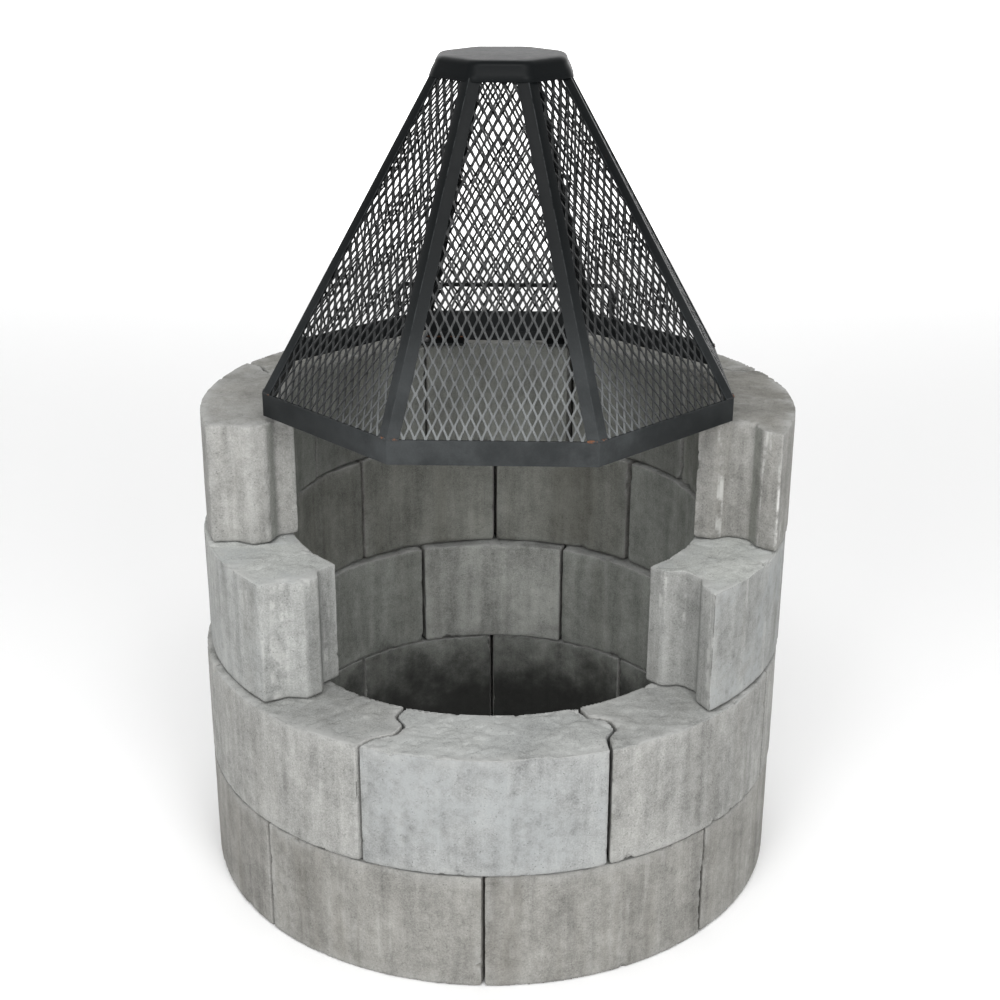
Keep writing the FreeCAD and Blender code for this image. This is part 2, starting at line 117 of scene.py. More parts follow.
class Tree:
    """A node tree that is being wired, for a finish or for a shape."""

    def __init__(self, group: bpy.types.NodeTree) -> None:
        """Wire into an existing tree.

        Args:
            group: The node tree that gets the nodes.
        """
        self.group = group

    def add(self, kind: str, settings: dict, values: dict[int, Feed], out: int = 0) -> Wire:
        """Add any node.

        Args:
            kind: The node's type name.
            settings: Its properties, set first; "stops" gives a colour ramp's stops.
            values: Numbers, data or wires for its inputs, by socket index.
            out: Which output to return.

        Returns:
            The wire of the chosen output.
        """
        node = self.group.nodes.new(kind)
        for name, value in settings.items():
            if name == "stops":
                self._set_stops(node, value)
            else:
                setattr(node, name, value)
        for index, value in values.items():
            if isinstance(value, Wire):
                self.group.links.new(value.socket, node.inputs[index])
            else:
                node.inputs[index].default_value = value
        return Wire(self, node.outputs[out])

    @staticmethod
    def _set_stops(node: bpy.types.Node, stops: Sequence[tuple[float, Colour]]) -> None:
        """Give a colour ramp its stops.

        Args:
            node: The colour ramp.
            stops: Pairs of position and colour, in rising order.
        """
        elements = node.color_ramp.elements
        while len(elements) < len(stops):
            elements.new(1.0)
        for element, (position, colour) in zip(elements, stops):
            element.position = position
            element.color = (*colour, 1.0)

    def math(self, operation: str, a: Feed, b: Feed = 0.0, clamp: bool = False) -> Wire:
        """Add a Math node.

        Args:
            operation: The Math node's operation.
            a: First number or wire.
            b: Second number or wire.
            clamp: Keep the result between 0 and 1.

        Returns:
            The result's wire.
        """
        settings = {"operation": operation, "use_clamp": clamp}
        return self.add("ShaderNodeMath", settings, {0: a, 1: b})

    def vector(self, operation: str, a: Feed, b: Feed) -> Wire:
        """Add a Vector Math node on two vectors and return its vector."""
        return self.add("ShaderNodeVectorMath", {"operation": operation}, {0: a, 1: b})

    def scaled(self, a: Feed, factor: Feed) -> Wire:
        """Return a vector times a number."""
        return self.add("ShaderNodeVectorMath", {"operation": "SCALE"}, {0: a, 3: factor})

    def dot(self, a: Feed, b: Feed) -> Wire:
        """Return two vectors' dot product."""
        settings = {"operation": "DOT_PRODUCT"}
        return self.add("ShaderNodeVectorMath", settings, {0: a, 1: b}, 1)

    def length(self, a: Feed) -> Wire:
        """Return a vector's length."""
        return self.add("ShaderNodeVectorMath", {"operation": "LENGTH"}, {0: a}, 1)

    def part(self, a: Feed, index: int) -> Wire:
        """Return a vector's x, y or z, by index."""
        return self.add("ShaderNodeSeparateXYZ", {}, {0: a}, index)

    def noise(self, spot: Feed, scale: float, detail: float = 3.0, rough: float = 0.55) -> Wire:
        """Add a Noise Texture.

        Args:
            spot: Where to read it.
            scale: Its scale, per metre.
            detail: How many finer layers it has.
            rough: How strong the finer layers are.

        Returns:
            The wire of its value.
        """
        values = {0: spot, 2: scale, 3: detail, 4: rough}
        return self.add("ShaderNodeTexNoise", {}, values)

    def step(self, value: Feed, low: float, high: float) -> Wire:
        """Return 0 below low, 1 above high, and a smooth rise between."""
        settings = {"interpolation_type": "SMOOTHSTEP"}
        if high < low:
            return 1.0 - self.step(value, high, low)
        return self.add("ShaderNodeMapRange", settings, {0: value, 1: low, 2: high})

    def mix(self, factor: Feed, a: Feed, b: Feed, blend: str = "MIX") -> Wire:
        """Add a Mix node for colours.

        Args:
            factor: How much of the second colour.
            a: First colour.
            b: Second colour.
            blend: The Mix node's blend type.

        Returns:
            The mixed colour's wire.
        """
        settings = {"data_type": "RGBA", "blend_type": blend}
        values = {0: factor, 6: self.opaque(a), 7: self.opaque(b)}
        return self.add("ShaderNodeMix", settings, values, 2)

    @staticmethod
    def opaque(colour: Feed) -> Feed:
        """Return a plain colour with full alpha, and a wire as it is."""
        return (*colour, 1.0) if isinstance(colour, tuple) else colour


class ShapeTree(Tree):
    """A Geometry Nodes tree with named inputs for its sizes."""

    def __init__(self, name: str) -> None:
        """Start an empty tree with a geometry input.

        Args:
            name: The tree's name.
        """
        super().__init__(bpy.data.node_groups.new(name, "GeometryNodeTree"))
        for direction in ("INPUT", "OUTPUT"):
            self.group.interface.new_socket(
                "Geometry", in_out=direction, socket_type="NodeSocketGeometry"
            )
        self.inlet = self.group.nodes.new("NodeGroupInput")

    @property
    def geometry(self) -> Wire:
        """The mesh that the tree starts from."""
        return Wire(self, self.inlet.outputs[0])

    def size(self, name: str, kind: str = "NodeSocketFloat") -> Wire:
        """Add a named input and return its wire."""
        self.group.interface.new_socket(name, in_out="INPUT", socket_type=kind)
        return Wire(self, self.inlet.outputs[name])

    def close(self, geometry: Wire, material: bpy.types.Material) -> None:
        """End the tree in real geometry that wears one material.

        Args:
            geometry: The finished geometry.
            material: What it wears.
        """
        real = self.add("GeometryNodeRealizeInstances", {}, {0: geometry})
        dressed = self.add("GeometryNodeSetMaterial", {}, {0: real, 2: material})
        outlet = self.group.nodes.new("NodeGroupOutput")
        self.group.links.new(dressed.socket, outlet.inputs[0])

    def grow(
        self, base: bpy.types.Mesh, sizes: dict[str, Feed], voxel: float = 0.0
    ) -> bpy.types.Mesh:
        """Run the tree over a mesh.

        Args:
            base: The mesh that the tree starts from.
            sizes: A value for each named input.
            voxel: Remesh the base at this size first, unless it is 0.

        Returns:
            The result as a plain mesh.
        """
        holder = bpy.data.objects.new("growing", base)
        bpy.context.scene.collection.objects.link(holder)
        if voxel:
            remesh = holder.modifiers.new("Even faces", "REMESH")
            remesh.mode = "VOXEL"
            remesh.voxel_size = voxel
        modifier = holder.modifiers.new("Tree", "NODES")
        modifier.node_group = self.group
        for item in self.group.interface.items_tree:
            if item.in_out == "INPUT" and item.name in sizes:
                modifier[item.identifier] = sizes[item.name]
        evaluated = holder.evaluated_get(bpy.context.evaluated_depsgraph_get())
        mesh = bpy.data.meshes.new_from_object(evaluated)
        holder.modifiers.clear()
        bpy.data.objects.remove(holder)
        return mesh


# ---------------------------------------------------------------- mesh helpers


def merged_copy(node: str, flatten: bool) -> bpy.types.Mesh:
    """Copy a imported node's mesh with its loose triangles joined up.

    Args:
        node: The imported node's name.
        flatten: Also join the triangles of each flat face into one face.

    Returns:
        The joined mesh.
    """
    shape = bmesh.new()
    shape.from_mesh(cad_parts[node].data)
    bmesh.ops.remove_doubles(shape, verts=shape.verts, dist=MERGE_DISTANCE)
    if flatten:
        bmesh.ops.dissolve_limit(
            shape, angle_limit=FLAT_ANGLE, verts=shape.verts, edges=shape.edges
        )
    bmesh.ops.recalc_face_normals(shape, faces=shape.faces)
    mesh = bpy.data.meshes.new(node)
    shape.to_mesh(mesh)
    shape.free()
    return mesh


def add_piece(
    name: str, mesh: bpy.types.Mesh, body: str, replaced: Sequence[str] = ()
) -> bpy.types.Object:
    """Put a finished mesh in the scene and tell the frame what it rides on.

    Args:
        name: The piece's name.
        mesh: Its mesh, already in place.
        body: The body that it moves with.
        replaced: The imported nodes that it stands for.

    Returns:
        The new object.
    """
    piece = bpy.data.objects.new(name, mesh)
    mesh.name = name
    bpy.context.scene.collection.objects.link(piece)
    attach(piece, body)
    if replaced:
        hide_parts(*replaced)
    LOG.info("%s: %d faces on %s", name, len(mesh.polygons), body)
    return piece


def break_edges(
    mesh: bpy.types.Mesh, width: float, segments: int = 2, sharpest: float = 20.0
) -> None:
    """Round a mesh's hard edges and mark the rounded strips as worn, for wear and a painted edge
    highlight.

    Args:
        mesh: The mesh to change.
        width: How far back each edge is cut.
        segments: How many strips make the round.
        sharpest: Edges that turn by fewer degrees are left.
    """
    shape = bmesh.new()
    shape.from_mesh(mesh)
    worn = shape.faces.layers.float.new("edge_wear_and_highlight")
    limit = math.radians(sharpest)
    hard = [e for e in shape.edges if len(e.link_faces) == 2 and e.calc_face_angle(0.0) > limit]
    result = bmesh.ops.bevel(
        shape, geom=hard, offset=width, offset_type="OFFSET", segments=segments,
        profile=0.5, affect="EDGES", clamp_overlap=True,
    )
    for face in result["faces"]:
        face[worn] = 1.0
    for face in shape.faces:
        face.smooth = True
    for edge in shape.edges:
        edge.smooth = edge.calc_face_angle(0.0) < CREASE_ANGLE
    shape.to_mesh(mesh)
    shape.free()


# ---------------------------------------------------------------- finishes


class Finish:
    """A new material with an empty tree, a surface shader and its output."""

    def __init__(self, name: str) -> None:
        """Start the material.

        Args:
            name: The material's name.
        """
        self.material = bpy.data.materials.new(name)
        self.material.use_nodes = True
        self.material.node_tree.nodes.clear()
        self.tree = Tree(self.material.node_tree)

    def close(self, values: dict[int, Feed]) -> bpy.types.Material:
        """Add the surface shader and wire it to the output.

        Args:
            values: The surface shader's inputs, by socket index.

        Returns:
            The finished material.
        """
        surface = self.tree.add("ShaderNodeBsdfPrincipled", {}, values)
        output = self.material.node_tree.nodes.new("ShaderNodeOutputMaterial")
        self.material.node_tree.links.new(surface.socket, output.inputs[0])
        return self.material


BASE_COLOUR, ROUGHNESS, NORMAL, SPECULAR = 0, 2, 5, 13
EMISSION_COLOUR, EMISSION_STRENGTH = 27, 28


@dataclass(frozen=True)
class ConcreteFinish:
    """Cast concrete: its grey, how much bloom, lime and staining it carries, and the painted shade
    on its inner faces and low in the pit.
    """

    name: str
    grey: Colour = (0.285, 0.285, 0.272)
    bloom: float = 0.0
    top_bloom: float = 0.25
    lime: float = 0.15
    stain: float = 0.3
    top_tint: Colour = (0.97, 0.98, 0.98)
    blue_grey: Colour = (0.322, 0.337, 0.338)
    lime_white: Colour = (0.56, 0.56, 0.54)
    # Lighter grey for worn arrises and for the painted highlight along the edges.
    rim_highlight_and_wear_grey: Colour = (0.37, 0.372, 0.362)
    stain_brown: Colour = (0.15, 0.14, 0.12)
    # Factor for the painted shade on the inner faces; above 1 it paints them lighter.
    painted_inner_shading: Colour = (0.84, 0.87, 0.84)
    # Near-black for soot with painted shade low inside the pit, and for the pores.
    soot_and_shade: Colour = (0.020, 0.020, 0.019)

    def make(self) -> bpy.types.Material:
        """Build the procedural concrete and return its material."""
        finish = Finish(self.name)
        t = finish.tree
        place = t.add("ShaderNodeTexCoord", {}, {}, 3)
        facing = t.add("ShaderNodeTexCoord", {}, {}, 1)
        origin = t.add("ShaderNodeAttribute", {"attribute_name": "cast_origin"}, {}, 1)
        wear = t.add("ShaderNodeAttribute", {"attribute_name": "wear"}, {}, 2)
        rim = t.add("ShaderNodeAttribute", {"attribute_name": "rim"}, {}, 2)
        spot = t.vector("ADD", place, origin)
        upright = t.vector("MULTIPLY", spot, (1.0, 1.0, 0.1))

        up = t.part(facing, 2)
        top = t.step(up, 0.6, 0.9)
        side = 1.0 - t.step(t.math("ABSOLUTE", up), 0.4, 0.8)
        spoke = t.add(
            "ShaderNodeVectorMath", {"operation": "NORMALIZE"},
            {0: t.vector("MULTIPLY", place, (1.0, 1.0, 0.0))},
        )
        outward = t.dot(facing, spoke)
        outer = t.step(outward, 0.75, 0.95) * side
        inner = t.step(outward, -0.55, -0.85) * side
        end = side - t.step(t.math("ABSOLUTE", outward), 0.6, 0.9) * side

        blotch = t.noise(spot, 6.0, 3.0)
        cloud = t.noise(spot, 17.0, 4.0, 0.6)
        mottle = t.noise(spot, 62.0, 4.0, 0.65)
        grain = t.noise(spot, 380.0, 2.0, 0.7)
        streak = t.noise(upright, 46.0, 3.0, 0.6)
        pore_place = t.add("ShaderNodeTexVoronoi", {}, {0: spot, 2: 230.0, 8: 1.0})
        pore = t.step(pore_place, 0.24, 0.12) * t.step(t.noise(spot, 90.0, 1.0), 0.52, 0.62)

        tone = (
            1.0 + (blotch - 0.5) * 0.60 + (cloud - 0.5) * 0.65 + (mottle - 0.5) * 0.70
            + (grain - 0.5) * 1.15 + (streak - 0.5) * side * 0.90
        )
        even = t.add("ShaderNodeCombineXYZ", {}, {0: tone, 1: tone, 2: tone})
        colour = t.mix(1.0, self.grey, even, "MULTIPLY")
        colour = t.mix(top, colour, t.mix(1.0, colour, self.top_tint, "MULTIPLY"))

        stained = t.step(t.noise(upright, 15.0, 4.0, 0.6), 0.48, 0.68) * (side * self.stain)
        colour = t.mix(stained * 0.6, colour, self.stain_brown)
        veil = (t.step(t.noise(spot, 8.0, 4.0, 0.6), 0.42, 0.60) * 0.80 + 0.20) * (
            t.step(mottle, 0.30, 0.66) * 0.65 + 0.35
        )
        bloomed = veil * (outer * self.bloom + top * self.top_bloom)
        colour = t.mix(bloomed, colour, self.blue_grey)
        falling = t.vector("MULTIPLY", spot, (1.0, 1.0, 0.05))
        drip = t.step(t.noise(falling, 48.0, 2.0), 0.54, 0.64)
        broken = t.step(t.noise(spot, 36.0, 4.0, 0.6), 0.42, 0.60)
        limed = drip * broken * (end + outer * 0.5) * self.lime
        colour = t.mix(limed, colour, self.lime_white)
        # Painted highlight together with paler weathered concrete: faces near an edge, most of all
        # on tops, are painted lighter.
        rim_highlight_and_wear = rim * (0.25 + top * 0.45) * t.step(cloud, 0.34, 0.60)
        colour = t.mix(rim_highlight_and_wear, colour, self.rim_highlight_and_wear_grey)
        colour = t.mix(wear * t.step(mottle, 0.35, 0.6) * 0.45, colour, self.rim_highlight_and_wear_grey)
        # Painted shade: the inner faces, towards the pit's axis, are multiplied by the inner
        # shading factor; a factor above 1 paints light there instead.
        colour = t.mix(inner, colour, t.mix(1.0, colour, self.painted_inner_shading, "MULTIPLY"))
        # Soot and painted shade: the inner faces turn near-black towards the bottom of the pit,
        # from about 0.27 m down.
        low = t.step(t.part(place, 2) + (cloud - 0.5) * 0.20, 0.27, 0.06)
        colour = t.mix(low * inner * 0.92, colour, self.soot_and_shade)
        # The pores are darkened with the same near-black.
        colour = t.mix(pore * 0.45, colour, self.soot_and_shade)

        height = grain * 0.45 + mottle * 0.9 + (streak * side) * 0.25 - pore * 1.2
        bump = t.add("ShaderNodeBump", {}, {0: 0.55, 1: 0.0016, 3: height})
        rough = 0.84 + grain * 0.14
        return finish.close({BASE_COLOUR: colour, ROUGHNESS: rough, NORMAL: bump, SPECULAR: 0.28})


@dataclass(frozen=True)
class PaintFinish:
    """Black stove paint on steel: its black, its dust with a painted sheen, and the bare look of
    worn edges with a painted highlight.
    """

    name: str
    black: Colour = (0.0042, 0.0052, 0.0057)
    dust_and_painted_sheen_grey: Colour = (0.064, 0.069, 0.071)
    worn: Colour = (0.050, 0.054, 0.056)
    rust: Colour = (0.26, 0.095, 0.035)
    roughness: float = 0.42
    dust_and_painted_sheen_amount: float = 0.75
    rusting: float = 0.05
    rust_start: float = 0.66
    # How much of the dust and painted sheen is held to the front of the hood.
    fore: float = 0.55
    sheen: float = 0.09

    def make(self) -> bpy.types.Material:
        """Build the procedural paint and return its material."""
        finish = Finish(self.name)
        t = finish.tree
        spot = t.add("ShaderNodeTexCoord", {}, {}, 3)
        facing = t.add("ShaderNodeTexCoord", {}, {}, 1)
        wear = t.add("ShaderNodeAttribute", {"attribute_name": "edge_wear_and_highlight"}, {}, 2)
        cloud = t.noise(spot, 14.0, 4.0, 0.6)
        speck = t.noise(spot, 420.0, 3.0, 0.65)
        patch = t.noise(spot, 75.0, 5.0, 0.7)
        # Dust together with painted sheen: lower parts turn lighter grey, most of all at the front,
        # the rest held back by fore; up-facing faces get less, as painted shade on the tops.
        level = t.step(t.part(facing, 2), 0.75, 0.95)
        low_dust_and_painted_sheen = t.step(t.part(spot, 2) + (cloud - 0.5) * 0.16, 1.16, 0.84)
        ahead = t.step(t.part(spot, 1), -0.25, -0.345)
        low_dust_and_painted_sheen = low_dust_and_painted_sheen * (1.0 - (1.0 - ahead) * self.fore)
        dust_and_painted_sheen = (t.step(cloud, 0.35, 0.70) * 0.5 + 0.5) * low_dust_and_painted_sheen * (1.0 - level * 0.7)
        dust_and_painted_sheen = dust_and_painted_sheen * self.dust_and_painted_sheen_amount
        colour = t.mix(dust_and_painted_sheen, self.black, self.dust_and_painted_sheen_grey)
        # Wear and painted highlight: the rounded edge strips are painted lighter.
        colour = t.mix(wear * t.step(patch, 0.35, 0.62) * 0.55, colour, self.worn)
        spread = t.step(t.noise(spot, 9.0, 2.0), self.rust_start - 0.16, self.rust_start - 0.04)
        rusty = t.step(patch, self.rust_start, self.rust_start + 0.08) * spread
        colour = t.mix(rusty * self.rusting, colour, self.rust)
        stops = [(0.3, (0.82, 0.82, 0.82)), (0.7, (1.0, 1.0, 1.0))]
        speckled = t.add("ShaderNodeValToRGB", {"stops": stops}, {0: speck})
        colour = t.mix(1.0, colour, speckled, "MULTIPLY")
        rough = self.roughness + (patch - 0.5) * 0.16 + dust_and_painted_sheen * 0.25 + (speck - 0.5) * 0.06
        bump = t.add("ShaderNodeBump", {}, {0: 0.22, 1: 0.0003, 3: speck + patch * 0.6})
        return finish.close({
            BASE_COLOUR: colour, ROUGHNESS: rough, NORMAL: bump, SPECULAR: self.sheen
        })


class BlockLook(Enum):
    """How a block has weathered, and how much painted shade its inner faces get."""

    PLAIN = ConcreteFinish("concrete_plain")
    PALE = ConcreteFinish(
        "concrete_pale", grey=(0.262, 0.261, 0.248), stain=0.15, top_tint=(0.82, 0.81, 0.79)
    )
    WARM = ConcreteFinish(
        "concrete_warm", grey=(0.232, 0.228, 0.212), stain=0.55, top_bloom=0.1, lime=0.25
    )
    # Painted light: its inner faces are painted lighter than the other blocks'.
    FAIR_LIT_INSIDE = ConcreteFinish("concrete_fair_lit_inside", stain=0.2, painted_inner_shading=(1.1, 1.12, 1.1))
    BLOOMED = ConcreteFinish(
        "concrete_bloomed", grey=(0.262, 0.268, 0.264), bloom=0.75, top_bloom=0.35, stain=0.1,
        top_tint=(1.30, 1.30, 1.28),
    )
    FROSTED = ConcreteFinish(
        "concrete_frosted", grey=(0.28, 0.285, 0.275), bloom=0.3, top_bloom=0.7, lime=0.4,
        top_tint=(1.42, 1.43, 1.42),
    )
    SIDE_BLOOMED = ConcreteFinish(
        "concrete_side_bloomed", grey=(0.245, 0.248, 0.238), bloom=0.9, top_bloom=0.6,
        lime=0.45, stain=0.4, top_tint=(1.60, 1.62, 1.60),
    )
    LIMED = ConcreteFinish(
        "concrete_limed", grey=(0.235, 0.232, 0.218), lime=1.0, stain=0.5, top_bloom=0.1,
        top_tint=(0.74, 0.73, 0.70),
    )
    SHADED = ConcreteFinish("concrete_shaded", grey=(0.225, 0.220, 0.205), stain=0.6)
    # Sooted, with darker tops, and a deeper painted shade on its inner faces.
    SOOTED_AND_SHADED = ConcreteFinish(
        "concrete_sooted_and_shaded", grey=(0.25, 0.25, 0.236), stain=0.45, top_bloom=0.1,
        top_tint=(0.74, 0.73, 0.70), painted_inner_shading=(0.74, 0.76, 0.74),
    )


STOVE_BLACK = PaintFinish("black_stove_paint")
# Its light grey on the lower front is dust together with a painted reflection of the front lights.
MESH_BLACK = PaintFinish(
    "black_mesh_paint", black=(0.012, 0.013, 0.0135), dust_and_painted_sheen_grey=(0.19, 0.20, 0.202),
    roughness=0.36, dust_and_painted_sheen_amount=0.9, rusting=0.0, fore=0.93, sheen=0.35,
)
WELD_BLACK = PaintFinish(
    "painted_weld", black=(0.020, 0.021, 0.022), roughness=0.5, rusting=0.55, rust_start=0.50,
)


# ---------------------------------------------------------------- the ring of blocks


@dataclass
class BlockRing:
    """The four courses of loose cast blocks."""

    courses: tuple[int, ...] = (8, 8, 6, 5)
    voxel: float = 0.0044
    front_voxel: float = 0.0031
    near_passes: int = 4
    far_passes: int = 28
    arris_rounding: float = 0.12
    chip_depth: float = 1.0
    face_wave: float = 0.0016
    top_wave: float = 0.0032
    grain_depth: float = 0.0004
    front_blocks: tuple[str, ...] = (
        "course1_block1", "course1_block8", "course2_block1", "course2_block2",
        "course2_block8", "course3_block1", "course3_block6", "course4_block1",
        "course4_block5",
    )
    looks: dict[str, BlockLook] = field(default_factory=lambda: {
        "course2_block1": BlockLook.BLOOMED,
        "course2_block2": BlockLook.PLAIN,
        "course2_block8": BlockLook.PLAIN,
        "course1_block1": BlockLook.WARM,
        "course1_block8": BlockLook.WARM,
        "course1_block7": BlockLook.SHADED,
        "course1_block2": BlockLook.WARM,
        "course2_block5": BlockLook.FAIR_LIT_INSIDE,
        "course3_block3": BlockLook.SHADED,
        "course3_block4": BlockLook.SHADED,
        "course3_block5": BlockLook.SHADED,
        "course3_block1": BlockLook.SIDE_BLOOMED,
        "course3_block6": BlockLook.FROSTED,
        "course4_block1": BlockLook.LIMED,
        "course4_block5": BlockLook.PALE,
        "course4_block2": BlockLook.SOOTED_AND_SHADED,
        "course4_block3": BlockLook.SOOTED_AND_SHADED,
        "course4_block4": BlockLook.SOOTED_AND_SHADED,
    })

    def weathering(self, look: BlockLook) -> ShapeTree:
        """Build the tree that rounds, chips and roughens a block.

        Args:
            look: The finish that the block wears.

        Returns:
            The tree, with its inputs named.
        """
        t = ShapeTree("Weathering %s" % look.name.lower())
        rounding = t.size("Arris rounding")
        chipping = t.size("Chip depth")
        wave = t.size("Face waviness")
        top_wave = t.size("Top unevenness")
        grain = t.size("Grain depth")
        origin = t.size("Cast origin", "NodeSocketVector")
        near_passes = t.size("Near passes", "NodeSocketInt")
        far_passes = t.size("Far passes", "NodeSocketInt")

        place = t.add("GeometryNodeInputPosition", {}, {})
        normal = t.add("GeometryNodeInputNormal", {}, {})
        spot = t.vector("ADD", place, origin)
        blur = {"data_type": "FLOAT_VECTOR"}
        near = t.add("GeometryNodeBlurAttribute", blur, {0: place, 1: near_passes})
        far = t.add("GeometryNodeBlurAttribute", blur, {0: place, 1: far_passes})
        to_near = t.vector("SUBTRACT", near, place)
        to_far = t.vector("SUBTRACT", far, place)
        broken = t.step(t.noise(spot, 21.0, 4.0, 0.65), 0.54, 0.66)
        crumbled = t.step(t.noise(spot, 85.0, 3.0, 0.6), 0.40, 0.66)
        bite = broken * (0.15 + crumbled * 0.85) + crumbled * 0.06
        worn = t.vector("ADD", t.scaled(to_near, rounding), t.scaled(to_far, bite * chipping))
        convex = t.math("LESS_THAN", t.dot(worn, normal), 0.0)
        worn = t.scaled(worn, convex)

        up = t.part(normal, 2)
        top = t.step(up, 0.5, 0.85)
        open_side = t.step(up, -0.9, -0.6)
        torn = t.noise(spot, 13.0, 4.0, 0.6)
        crease = 1.0 - t.step(t.math("ABSOLUTE", torn - 0.52), 0.0, 0.03)
        depth = (
            t.noise(spot, 10.0, 3.0) * wave
            + t.noise(spot, 130.0, 2.0) * grain
            + (t.step(torn, 0.36, 0.62) + crease * 0.35) * top * top_wave
        ) * open_side
        moved = t.vector("ADD", worn, t.scaled(normal, depth * -1.0))
        shaped = t.add("GeometryNodeSetPosition", {}, {0: t.geometry, 3: moved})
        wear = t.math("MULTIPLY", t.length(worn), 420.0, clamp=True)
        # How near an edge a point lies; the concrete paints a highlight there.
        rim = t.math("MULTIPLY", t.length(to_far), 260.0, clamp=True)
        store = {"data_type": "FLOAT", "domain": "POINT"}
        for name, value in (("wear", wear), ("rim", rim)):
            shaped = t.add("GeometryNodeStoreNamedAttribute", store, {0: shaped, 2: name, 3: value})
        store = {"data_type": "FLOAT_VECTOR", "domain": "POINT"}
        shaped = t.add(
            "GeometryNodeStoreNamedAttribute", store, {0: shaped, 2: "cast_origin", 3: origin}
        )
        shaped = t.add("GeometryNodeSetShadeSmooth", {}, {0: shaped, 2: True})
        t.close(shaped, look.value.make())
        return t

    def build(self) -> None:
        """Make every block of every course."""
        trees: dict[BlockLook, ShapeTree] = {}
        serial = 0
        for level, count in enumerate(self.courses, start=1):
            for index in range(1, count + 1):
                node = "course%d_block%d" % (level, index)
                look = self.looks.get(node, BlockLook.PLAIN)
                if look not in trees:
                    trees[look] = self.weathering(look)
                serial += 1
                voxel = self.front_voxel if node in self.front_blocks else self.voxel
                finer = (self.voxel / voxel) ** 2
                mesh = trees[look].grow(
                    merged_copy(node, flatten=False),
                    {
                        "Near passes": round(self.near_passes * finer),
                        "Far passes": round(self.far_passes * finer),
                        "Arris rounding": self.arris_rounding,
                        "Chip depth": self.chip_depth,
                        "Face waviness": self.face_wave,
                        "Top unevenness": self.top_wave,
                        "Grain depth": self.grain_depth,
                        "Cast origin": (serial * 1.73, serial * 0.91, serial * 2.37),
                    },
                    voxel,
                )
                add_piece("%s_cast" % node, mesh, RING_BODY, [node])


# ---------------------------------------------------------------- the spark hood


